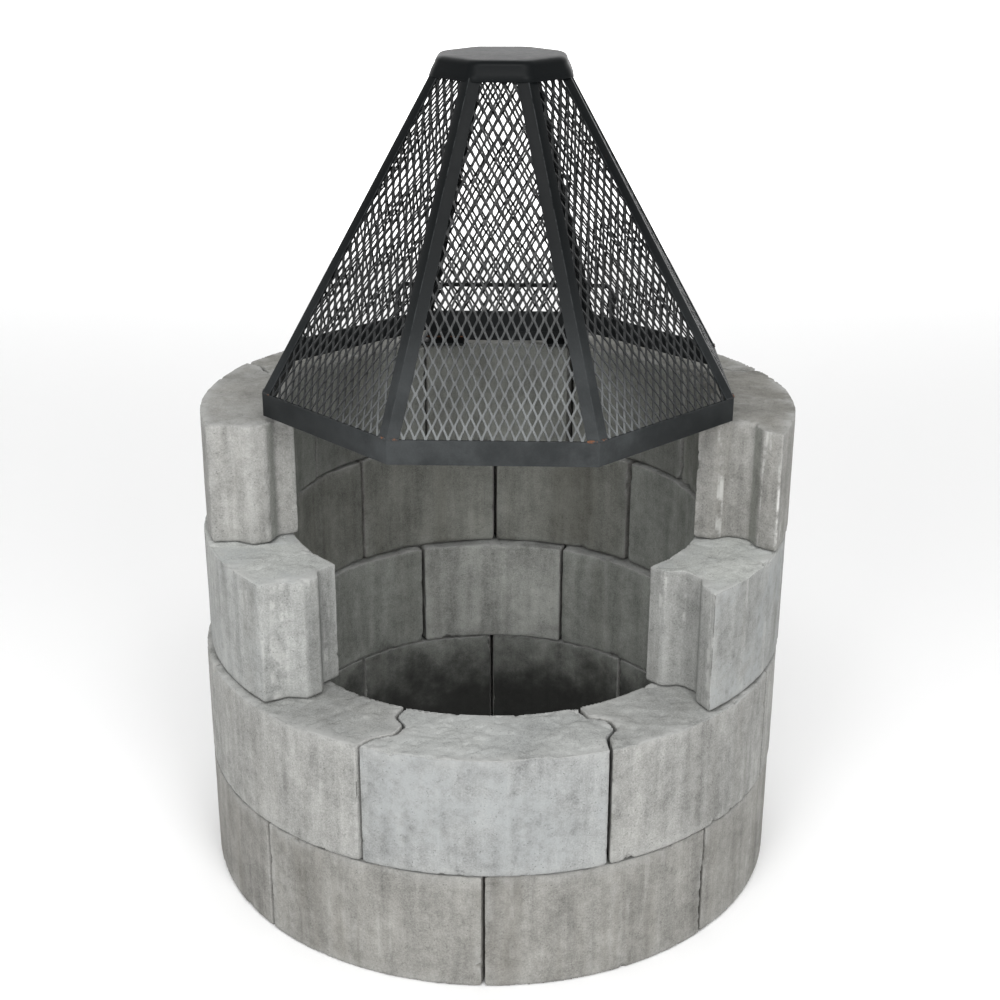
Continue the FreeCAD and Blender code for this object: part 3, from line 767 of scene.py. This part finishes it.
@dataclass
class ExpandedMetal:
    """Raised expanded metal: a lattice of twisted strands joined at knuckles."""

    across: float = 0.016
    along: float = 0.032
    strand_width: float = 0.0030
    sheet: float = 0.0018
    tilt: float = math.radians(40)
    bond: float = 0.0066
    depth: float = -0.0016
    margin: float = 0.0006
    seed: int = 7

    def strand(self, lean: int) -> bpy.types.Mesh:
        """One strand from a knuckle up to the next row's knuckle.

        Args:
            lean: +1 for a strand that leans right, -1 for left.

        Returns:
            The strand's mesh, its foot at the origin.
        """
        half_bond = self.bond / 2 * 0.8
        rise = self.along / 2
        run = self.across / 2 * lean
        shift = self.strand_width / 2 * lean
        path = [
            (shift * 0.7, -half_bond * 0.2), (shift * 1.05, half_bond),
            (run * 0.5, rise * 0.5),
            (run - shift * 1.05, rise - half_bond), (run - shift * 0.7, rise + half_bond * 0.2),
        ]
        shape = bmesh.new()
        rings = []
        for i, (u, v) in enumerate(path):
            before = path[max(i - 1, 0)]
            after = path[min(i + 1, len(path) - 1)]
            along = Vector((after[0] - before[0], after[1] - before[1], 0)).normalized()
            middle = 1.0 - abs(i - 2) / 2
            turn = self.tilt * (0.6 + 0.4 * middle)
            face = Vector((0, math.sin(turn), math.cos(turn)))
            thick = (face - along * face.dot(along)).normalized()
            wide = along.cross(thick)
            centre = Vector((u, v, self.depth))
            ring = []
            for a, b in ((-1, -1), (1, -1), (1, 1), (-1, 1)):
                offset = wide * (a * self.strand_width / 2) + thick * (b * self.sheet / 2)
                ring.append(shape.verts.new(centre + offset))
            rings.append(ring)
        for lower, upper in zip(rings, rings[1:]):
            for j in range(4):
                k = (j + 1) % 4
                shape.faces.new((lower[j], lower[k], upper[k], upper[j]))
        shape.faces.new(rings[0][::-1])
        shape.faces.new(rings[-1])
        bmesh.ops.recalc_face_normals(shape, faces=shape.faces)
        mesh = bpy.data.meshes.new("strand")
        shape.to_mesh(mesh)
        shape.free()
        return mesh

    def knuckle(self) -> bpy.types.Mesh:
        """The bond between two rows of strands, a small long prism."""
        half_wide = self.strand_width * 0.7
        half_tall = self.bond / 2
        outline = [
            (0.0, -half_tall), (half_wide, -half_tall * 0.55), (half_wide, half_tall * 0.55),
            (0.0, half_tall), (-half_wide, half_tall * 0.55), (-half_wide, -half_tall * 0.55),
        ]
        shape = bmesh.new()
        half_sheet = self.sheet * 0.75
        lean = math.tan(self.tilt * 0.35)
        back = [shape.verts.new((u, v, self.depth - half_sheet - v * lean)) for u, v in outline]
        front = [shape.verts.new((u, v, self.depth + half_sheet - v * lean)) for u, v in outline]
        shape.faces.new(back[::-1])
        shape.faces.new(front)
        count = len(outline)
        for i in range(count):
            j = (i + 1) % count
            shape.faces.new((back[i], back[j], front[j], front[i]))
        bmesh.ops.recalc_face_normals(shape, faces=shape.faces)
        mesh = bpy.data.meshes.new("knuckle")
        shape.to_mesh(mesh)
        shape.free()
        return mesh

    def tree(self, material: bpy.types.Material) -> ShapeTree:
        """Build the tree that fills a tapered panel with the lattice.

        Args:
            material: What the lattice wears.

        Returns:
            The tree, with its inputs named.
        """
        t = ShapeTree("Expanded metal")
        foot = t.size("Half width at foot")
        head = t.size("Half width at head")
        height = t.size("Height")
        across = t.size("Pitch across")
        along = t.size("Pitch along")
        margin = t.size("Edge margin")
        columns = t.size("Columns", "NodeSocketInt")
        rows = t.size("Rows", "NodeSocketInt")
        seed = t.size("Seed", "NodeSocketInt")
        shapes = [t.size(name, "NodeSocketObject") for name in ("Knuckle", "Right", "Left")]

        place = t.add("GeometryNodeInputPosition", {}, {})
        u = t.part(place, 0)
        v = t.part(place, 1)

        def room(shift_u: Feed, shift_v: Feed) -> Wire:
            """How far a point of the lattice lies inside the panel's sloping edges."""
            up = v + shift_v
            half = foot - (foot - head) * up / height
            return t.math("MINIMUM", half - t.math("ABSOLUTE", u + shift_u), height - up)

        lattices = []
        for half_step in (0.0, 0.5):
            wide = (columns - 1.0) * across
            tall = (rows - 1.0) * along
            grid = t.add("GeometryNodeMeshGrid", {}, {0: wide, 1: tall, 2: columns, 3: rows})
            shift = t.add(
                "ShaderNodeCombineXYZ", {},
                {0: across * half_step, 1: tall * 0.5 + along * half_step, 2: 0.0},
            )
            lattices.append(t.add("GeometryNodeTransform", {}, {0: grid, 1: shift}))
        points = self.joined(t, lattices)

        grown = []
        for lean, shape in zip((0, 1, -1), shapes):
            inside = room(0.0, 0.0)
            if lean:
                inside = t.math("MINIMUM", inside, room(across * (0.5 * lean), along * 0.5))
            chosen = t.math("GREATER_THAN", inside, margin)
            source = t.add("GeometryNodeObjectInfo", {}, {0: shape}, 4)
            wobble = t.add(
                "FunctionNodeRandomValue", {"data_type": "FLOAT"},
                {2: -0.035, 3: 0.035, 8: seed}, 1,
            )
            turn = t.add("ShaderNodeCombineXYZ", {}, {0: wobble * 2.0, 1: wobble, 2: wobble * 0.6})
            grown.append(t.add(
                "GeometryNodeInstanceOnPoints", {}, {0: points, 1: chosen, 2: source, 5: turn}
            ))
        t.close(self.joined(t, grown), material)
        return t

    @staticmethod
    def joined(tree: ShapeTree, parts: Sequence[Wire]) -> Wire:
        """Join several geometries into one."""
        node = tree.group.nodes.new("GeometryNodeJoinGeometry")
        for item in reversed(parts):
            tree.group.links.new(item.socket, node.inputs[0])
        return Wire(tree, node.outputs[0])

    def panel(self, tree: ShapeTree, foot: float, head: float, height: float) -> bpy.types.Mesh:
        """Fill one panel.

        Args:
            tree: The lattice's tree.
            foot: The panel's half width at its foot.
            head: Its half width at its head.
            height: How far it runs up the slope.

        Returns:
            The panel in its own plane, its foot's middle at the origin.
        """
        shapes = {}
        for name, mesh in (
            ("Knuckle", self.knuckle()), ("Right", self.strand(1)), ("Left", self.strand(-1))
        ):
            shapes[name] = bpy.data.objects.new(name, mesh)
            bpy.context.scene.collection.objects.link(shapes[name])
        sizes = {
            "Half width at foot": foot,
            "Half width at head": head,
            "Height": height,
            "Pitch across": self.across,
            "Pitch along": self.along,
            "Edge margin": self.margin,
            "Columns": 2 * math.ceil(foot / self.across) + 1,
            "Rows": math.ceil(height / self.along) + 1,
            "Seed": self.seed,
            **shapes,
        }
        mesh = tree.grow(bpy.data.meshes.new("sheet"), sizes)
        for shape in shapes.values():
            bpy.data.objects.remove(shape)
        return mesh


@dataclass
class WeldRuns:
    """Short weld beads laid along lines."""

    pitch: float = 0.0022
    radius: float = 0.0021
    seed: int = 3
    lines: list[tuple[Vector, Vector]] = field(default_factory=list)

    def lay(self, start: Vector, end: Vector) -> None:
        """Add a run between two points of the hood's own frame."""
        self.lines.append((start, end))

    def tree(self, material: bpy.types.Material) -> ShapeTree:
        """Build the tree that sets beads along edges.

        Args:
            material: What the beads wear.

        Returns:
            The tree, with its inputs named.
        """
        t = ShapeTree("Weld beads")
        pitch = t.size("Bead pitch")
        radius = t.size("Bead radius")
        seed = t.size("Seed", "NodeSocketInt")
        curve = t.add("GeometryNodeMeshToCurve", {}, {0: t.geometry})
        points = t.add("GeometryNodeResampleCurve", {"mode": "LENGTH"}, {0: curve, 3: pitch})
        bead = t.add("GeometryNodeMeshUVSphere", {}, {0: 8, 1: 5, 2: radius})
        bead = t.add("GeometryNodeSetShadeSmooth", {}, {0: bead, 2: True})
        size = t.add(
            "FunctionNodeRandomValue", {"data_type": "FLOAT"}, {2: 0.7, 3: 1.2, 8: seed}, 1
        )
        beads = t.add("GeometryNodeInstanceOnPoints", {}, {0: points, 2: bead, 6: size})
        t.close(beads, material)
        return t

    def build(self, material: bpy.types.Material) -> bpy.types.Mesh:
        """Lay every run and return the beads' mesh, in the hood's own frame."""
        mesh = bpy.data.meshes.new("runs")
        points = [p for line in self.lines for p in line]
        edges = [(2 * i, 2 * i + 1) for i in range(len(self.lines))]
        mesh.from_pydata([tuple(p) for p in points], edges, [])
        sizes = {"Bead pitch": self.pitch, "Bead radius": self.radius, "Seed": self.seed}
        return self.tree(material).grow(mesh, sizes)


@dataclass
class SparkHood:
    """The eight-sided hood: band, ribs, mesh, cap, handle, and the bar and feet at its rear."""

    turn: float = math.radians(-1.7)
    lean: float = math.radians(1.4106)
    rib_flange: float = 0.018
    rib_wall: float = 0.003
    rib_trim: float = 0.009
    bar_edge: float = 0.0011
    rib_edge: float = 0.0009
    cap_wall: float = 0.0025
    cap_margin: float = 0.0015
    cap_corner: float = 0.030
    cap_edge: float = 0.010
    cap_crown: float = 0.0009
    cap_dent: float = 0.0007
    cap_dent_scale: float = 24.0
    cap_seed: int = 11
    cap_nod: float = math.radians(1.2)
    cap_drop: float = 0.002
    cap_shift: float = 0.002
    mesh_gap: float = 0.0014
    mesh_tuck: float = 0.010
    mitre_gap: float = 0.0016
    handle_bar: float = 0.004
    handle_bend: float = 0.016
    handle_facets: int = 16
    bead_sink: float = 0.0012
    bead_lift: float = 0.0003
    bead_inset: float = 0.004
    bead_stop: float = 0.002
    metal: ExpandedMetal = field(default_factory=ExpandedMetal)

    def __post_init__(self) -> None:
        """Take the hood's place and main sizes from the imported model."""
        turned = Matrix.Rotation(self.turn, 4, "Z") @ Matrix.Rotation(self.lean, 4, "X")
        self.seat = turned
        low, high = self.measured("hood_base_band")
        middle = ((low.x + high.x) / 2, (low.y + high.y) / 2, low.z)
        self.seat = turned @ Matrix.Translation(middle)
        low, high = self.measured("hood_base_band")
        cap_low, cap_high = self.measured("hood_cap")
        self.flat = high.x
        self.corner = self.flat / math.cos(HALF_SIDE)
        self.band_height = high.z
        self.cap_foot = cap_low.z
        self.cap_top = cap_high.z
        self.cap_flat = cap_high.x
        narrowing = self.flat - (self.cap_flat - self.cap_wall)
        self.slope = math.atan(narrowing / (self.cap_foot - self.band_height))

    def measured(self, node: str) -> tuple[Vector, Vector]:
        """Return a node's lowest and highest corners in the hood's own frame."""
        back = self.seat.inverted()
        points = [back @ v.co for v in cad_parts[node].data.vertices]
        low = Vector(min(p[i] for p in points) for i in range(3))
        high = Vector(max(p[i] for p in points) for i in range(3))
        return low, high

    def finish_frame(self, black: bpy.types.Material) -> None:
        """Make the band, the ribs, the rear bar and its feet with broken edges.

        Args:
            black: The paint that they wear.
        """
        ribs = ["hood_rib%d" % (i + 1) for i in range(SIDES)]
        bars = ["hood_base_band", "hood_rear_bar", "hood_rear_foot_left", "hood_rear_foot_right"]
        for node, width, segments in (
            [(bar, self.bar_edge, 2) for bar in bars] + [(rib, self.rib_edge, 3) for rib in ribs]
        ):
            mesh = merged_copy(node, flatten=True)
            if node in ribs:
                self.trim_head(mesh, ribs.index(node))
            break_edges(mesh, width, segments)
            mesh.materials.clear()
            mesh.materials.append(black)
            add_piece(node.replace("hood_", "steel_"), mesh, HOOD_BODY, [node])

    def trim_head(self, mesh: bpy.types.Mesh, index: int) -> None:
        """Shorten a rib so that its head stays clear under the lid.

        Args:
            mesh: The rib's mesh, changed in place.
            index: Which rib it is, from 0.
        """
        azimuth = HALF_SIDE + index * SIDE_ANGLE
        inward = math.tan(self.slope) / math.cos(HALF_SIDE)
        climb = Vector((-math.sin(azimuth) * inward, math.cos(azimuth) * inward, 1))
        step = self.seat.to_3x3() @ (climb.normalized() * self.rib_trim)
        back = self.seat.inverted()
        for vert in mesh.vertices:
            if (back @ vert.co).z > self.cap_foot:
                vert.co -= step

    def finish_mesh(self, paint: bpy.types.Material) -> None:
        """Fill the eight sides with expanded metal.

        Args:
            paint: The paint that the mesh wears.
        """
        plane = self.flat - self.rib_wall
        height = (self.cap_foot - self.band_height + self.mesh_tuck) / math.cos(self.slope)
        mitre = math.tan(HALF_SIDE)
        foot = plane * mitre - self.mitre_gap
        head = (plane - height * math.sin(self.slope)) * mitre - self.mitre_gap
        tree = self.metal.tree(paint)
        sheet = self.metal.panel(tree, foot, head, height)
        lift = Matrix.Translation((0, -plane, self.band_height + self.mesh_gap))
        lean = Matrix.Rotation(math.pi / 2 - self.slope, 4, "X")
        for index in range(SIDES):
            mesh = sheet.copy()
            around = Matrix.Rotation(index * SIDE_ANGLE, 4, "Z")
            mesh.transform(self.seat @ around @ lift @ lean)
            node = "hood_mesh_panel%d" % (index + 1)
            add_piece("spark_mesh%d" % (index + 1), mesh, HOOD_BODY, [node])

    @staticmethod
    def rounded_octagon(flat: float, corner: float, height: float) -> list[Vector]:
        """Outline an octagon with a flat to the front and rounded corners.

        Args:
            flat: The distance of its sides from the axis.
            corner: The radius of its corners.
            height: Its height.

        Returns:
            The outline's points, going round once.
        """
        points = []
        for index in range(SIDES):
            azimuth = HALF_SIDE + index * SIDE_ANGLE
            reach = (flat - corner) / math.cos(HALF_SIDE)
            for step in range(ARC_STEPS + 1):
                angle = azimuth - HALF_SIDE + SIDE_ANGLE * step / ARC_STEPS
                points.append(Vector((
                    reach * math.sin(azimuth) + corner * math.sin(angle),
                    -reach * math.cos(azimuth) - corner * math.cos(angle),
                    height,
                )))
        return points

    def finish_cap(self, black: bpy.types.Material) -> None:
        """Fold the lid: a sloping skirt, a soft top edge and a slightly dented top.

        Args:
            black: The paint that it wears.
        """
        tall = self.cap_top - self.cap_foot
        slant = math.tan(self.slope)
        edge = self.cap_edge
        profile = [(0.0, 0.0), (0.0003, -0.0002), (0.35 * tall, 0.22 * tall * slant)]
        for step in range(ARC_STEPS + 1):
            angle = step / ARC_STEPS * (math.pi / 2 - self.slope * 0.4)
            profile.append((
                tall - edge + edge * math.sin(angle),
                (tall - edge) * slant * 0.8 + edge * (1 - math.cos(angle)) * 1.35,
            ))
        top_in = profile[-1][1]
        outer = [(self.cap_foot + z, self.cap_flat - inward) for z, inward in profile]
        for share in (0.85, 0.62, 0.40, 0.20, 0.04):
            crown = self.cap_top + self.cap_crown * (1 - share)
            outer.append((crown, (self.cap_flat - top_in) * share))
        inner = [(max(z - self.cap_wall * 0.9, self.cap_foot), flat - self.cap_wall)
                 for z, flat in outer if flat > 0.03]
        inner += [(self.cap_top - self.cap_wall, 0.02), (self.cap_top - self.cap_wall, 0.004)]
        noise.seed_set(self.cap_seed)
        shape = bmesh.new()
        skins = []
        for skin in (outer, inner):
            rings = []
            for z, flat in skin:
                corner = min(self.cap_corner, flat * 0.6)
                outline = self.rounded_octagon(flat + self.cap_margin, corner, z)
                rings.append([shape.verts.new(self.dented(p)) for p in outline])
            skins.append(rings)
        for rings in skins:
            for lower, upper in zip(rings, rings[1:]):
                self.bridge(shape, lower, upper)
            shape.faces.new(rings[-1])
        self.bridge(shape, skins[0][0], skins[1][0])
        bmesh.ops.recalc_face_normals(shape, faces=shape.faces)
        for face in shape.faces:
            face.smooth = True
        mesh = bpy.data.meshes.new("cap_lid")
        shape.to_mesh(mesh)
        shape.free()
        nod = Matrix.Rotation(self.cap_nod, 4, "X")
        pivot = Matrix.Translation((0, 0, self.cap_foot))
        settle = Matrix.Translation((self.cap_shift, 0, -self.cap_drop))
        mesh.transform(self.seat @ settle @ pivot @ nod @ pivot.inverted())
        mesh.materials.append(black)
        add_piece("cap_lid", mesh, HOOD_BODY, ["hood_cap"])

    def dented(self, point: Vector) -> Vector:
        """Return a point of the lid moved by the sheet's small dents."""
        return point + noise.noise_vector(point * self.cap_dent_scale) * self.cap_dent

    @staticmethod
    def bridge(
        shape: bmesh.types.BMesh, lower: list[bmesh.types.BMVert], upper: list[bmesh.types.BMVert]
    ) -> None:
        """Join two rings of the same length with faces."""
        count = len(lower)
        for j in range(count):
            k = (j + 1) % count
            shape.faces.new((lower[j], lower[k], upper[k], upper[j]))

    def finish_handle(self, black: bpy.types.Material) -> None:
        """Bend the round bar at the rear.

        Args:
            black: The paint that it wears.
        """
        low, high = self.measured("hood_rear_handle")
        bar = self.handle_bar
        half_span = high.x - bar
        head = Vector((0, high.y - bar, high.z - bar))
        reach = math.atan2(head.y - low.y - bar, head.z - low.z)
        foot = Vector((0, low.y + bar * math.cos(reach), low.z + bar * math.sin(reach)))
        rise = (head - foot).normalized()
        bend = self.handle_bend
        route = []
        for side in (-1, 1):
            out = Vector((side, 0, 0))
            leg = [foot + out * half_span, head + out * half_span - rise * bend]
            arc = []
            for step in range(1, ARC_STEPS + 1):
                angle = step / ARC_STEPS * math.pi / 2
                centre = head + out * (half_span - bend) - rise * bend
                swing = out * (bend * math.cos(angle)) + rise * (bend * math.sin(angle))
                arc.append(centre + swing)
            route.append(leg + arc)
        points = route[0] + route[1][::-1]
        mesh = tube("handle_bar", points, self.handle_bar, self.handle_facets)
        mesh.transform(self.seat)
        mesh.materials.append(black)
        add_piece("lift_handle", mesh, HOOD_BODY, ["hood_rear_handle"])

    def finish_welds(self, paint: bpy.types.Material) -> None:
        """Lay the beads where the ribs, the handle and the rear feet are welded on.

        Args:
            paint: What the beads wear.
        """
        runs = WeldRuns()
        for index in range(SIDES):
            azimuth = HALF_SIDE + index * SIDE_ANGLE
            corner = Vector((math.sin(azimuth), -math.cos(azimuth), 0))
            for side in (-1, 1):
                flank = azimuth + side * (math.pi / 2 + HALF_SIDE)
                along = Vector((math.sin(flank), -math.cos(flank), 0))
                foot = corner * (self.corner - self.bead_sink)
                foot.z = self.band_height + self.bead_lift
                end = foot + along * (self.rib_flange - self.bead_stop)
                runs.lay(foot + along * self.bead_inset, end)
        handle_low, handle_high = self.measured("hood_rear_handle")
        bar_low = self.measured("hood_rear_bar")[0]
        for side in (-1, 1):
            foot = Vector((
                side * (handle_high.x - self.handle_bar), handle_low.y + self.handle_bar * 1.4,
                handle_low.z + self.handle_bar,
            ))
            for sway in (-1, 1):
                start = foot + Vector((sway * 0.0045, 0, 0))
                runs.lay(start, foot + Vector((sway * 0.002, 0, 0.006)))
            foot_name = "hood_rear_foot_left" if side < 0 else "hood_rear_foot_right"
            foot_low, foot_high = self.measured(foot_name)
            runs.lay(
                Vector((foot_low.x + self.bead_inset, bar_low.y, foot_high.z)),
                Vector((foot_high.x - self.bead_inset, bar_low.y, foot_high.z)),
            )
        mesh = runs.build(paint)
        mesh.transform(self.seat)
        add_piece("weld_beads", mesh, HOOD_BODY)

    def build(self) -> None:
        """Make every piece of the hood."""
        black = STOVE_BLACK.make()
        self.finish_frame(black)
        self.finish_cap(black)
        self.finish_mesh(MESH_BLACK.make())
        self.finish_handle(black)
        self.finish_welds(WELD_BLACK.make())


def tube(name: str, points: Sequence[Vector], radius: float, count: int) -> bpy.types.Mesh:
    """Sweep a round bar along a line of points.

    Args:
        name: The mesh's name.
        points: The bar's middle line.
        radius: The bar's radius.
        count: How many corners its section has.

    Returns:
        The closed bar.
    """
    shape = bmesh.new()
    rings = []
    across = Vector((0, 0, 1))
    for i, point in enumerate(points):
        along = (points[min(i + 1, len(points) - 1)] - points[max(i - 1, 0)]).normalized()
        across = (across - along * across.dot(along)).normalized()
        other = along.cross(across)
        ring = []
        for j in range(count):
            angle = 2 * math.pi * j / count
            ring.append(shape.verts.new(
                point + across * (radius * math.cos(angle)) + other * (radius * math.sin(angle))
            ))
        rings.append(ring)
    for lower, upper in zip(rings, rings[1:]):
        for j in range(count):
            k = (j + 1) % count
            shape.faces.new((lower[j], lower[k], upper[k], upper[j])).smooth = True
    shape.faces.new(rings[0][::-1])
    shape.faces.new(rings[-1])
    bmesh.ops.recalc_face_normals(shape, faces=shape.faces)
    mesh = bpy.data.meshes.new(name)
    shape.to_mesh(mesh)
    shape.free()
    return mesh


# ---------------------------------------------------------------- the studio


@dataclass
class SoftBox:
    """A large soft light that faces a point on the object."""

    name: str
    place: Vector
    width: float
    height: float
    power: float
    target: Vector = field(default_factory=lambda: Vector((0, 0, 0.55)))

    def hang(self) -> None:
        """Put the light in the scene."""
        lamp = bpy.data.lights.new(self.name, "AREA")
        lamp.shape = "RECTANGLE"
        lamp.size = self.width
        lamp.size_y = self.height
        lamp.energy = self.power
        holder = bpy.data.objects.new(self.name, lamp)
        holder.location = self.place
        holder.rotation_euler = (self.target - self.place).to_track_quat("-Z", "Y").to_euler()
        bpy.context.scene.collection.objects.link(holder)


@dataclass
class Studio:
    """The pale floor, the backdrop, the soft light and the camera."""

    floor_radius: float = 9.0
    floor_grey: float = 0.90
    sky: float = 0.55
    backdrop_distance: float = 5.2
    backdrop_size: tuple[float, float] = (16.0, 6.0)
    backdrop_white: float = 0.9
    boxes: tuple[SoftBox, ...] = (
        SoftBox("front_right_box", Vector((1.7, -4.0, 2.5)), 1.6, 1.6, 74.0),
        SoftBox("front_left_box", Vector((-1.9, -3.9, 2.3)), 1.6, 1.6, 70.0),
        SoftBox("front_top_box", Vector((0.0, -2.2, 3.7)), 2.2, 1.4, 62.0),
    )
    camera_place: Vector = field(default_factory=lambda: Vector((0.0, -2.433, 1.511)))
    yaw: float = math.radians(-0.214)
    pitch: float = math.radians(-20.23)
    roll: float = math.radians(0.2)
    lens: float = 54.85
    film: float = 36.0

    def lay_floor(self) -> None:
        """Lay a round pale floor under the object."""
        shape = bmesh.new()
        bmesh.ops.create_circle(shape, cap_ends=True, segments=96, radius=self.floor_radius)
        mesh = bpy.data.meshes.new("studio_floor")
        shape.to_mesh(mesh)
        shape.free()
        finish = Finish("studio_floor")
        grey = self.floor_grey
        mesh.materials.append(finish.close({BASE_COLOUR: (grey, grey, grey, 1.0), ROUGHNESS: 0.9}))
        floor = bpy.data.objects.new("studio_floor", mesh)
        floor.location.z = CAD_BOX[0].z - 0.0005
        bpy.context.scene.collection.objects.link(floor)

    def hang_backdrop(self) -> None:
        """Hang a lit white backdrop behind the object."""
        half = self.backdrop_size[0] / 2
        tall = self.backdrop_size[1]
        far = self.backdrop_distance
        mesh = bpy.data.meshes.new("studio_backdrop")
        corners = [(-half, far, 0.0), (half, far, 0.0), (half, far, tall), (-half, far, tall)]
        mesh.from_pydata(corners, [], [(0, 1, 2, 3)])
        finish = Finish("studio_backdrop")
        mesh.materials.append(finish.close({
            BASE_COLOUR: (0.9, 0.9, 0.9, 1.0), ROUGHNESS: 0.9,
            EMISSION_COLOUR: (1.0, 1.0, 1.0, 1.0), EMISSION_STRENGTH: self.backdrop_white,
        }))
        backdrop = bpy.data.objects.new("studio_backdrop", mesh)
        bpy.context.scene.collection.objects.link(backdrop)

    def light(self) -> None:
        """Light the object softly from the front and above."""
        bpy.context.scene.view_settings.view_transform = "Standard"
        world = bpy.data.worlds.new("studio")
        world.use_nodes = True
        sky = world.node_tree.nodes["Background"]
        sky.inputs[0].default_value = (1.0, 1.0, 1.0, 1.0)
        sky.inputs[1].default_value = self.sky
        bpy.context.scene.world = world
        for box in self.boxes:
            box.hang()

    def set_camera(self) -> None:
        """Set the camera above the front of the feed gap."""
        data = bpy.data.cameras.new("camera")
        data.lens = self.lens
        data.sensor_width = self.film
        camera = bpy.data.objects.new("camera", data)
        aim = (
            Matrix.Rotation(self.yaw, 4, "Z")
            @ Matrix.Rotation(math.pi / 2 + self.pitch, 4, "X")
            @ Matrix.Rotation(self.roll, 4, "Z")
        )
        camera.matrix_world = Matrix.Translation(self.camera_place) @ aim
        bpy.context.scene.collection.objects.link(camera)
        bpy.context.scene.camera = camera

    def build(self) -> None:
        """Set up everything round the object."""
        self.lay_floor()
        self.hang_backdrop()
        self.light()
        self.set_camera()


# ---------------------------------------------------------------- the whole model


def main() -> None:
    """Build the ring, the hood and the studio in order."""
    logging.basicConfig(level=logging.INFO, format="%(message)s")
    Studio().build()
    BlockRing().build()
    SparkHood().build()


if __name__ == "__main__":
    main()
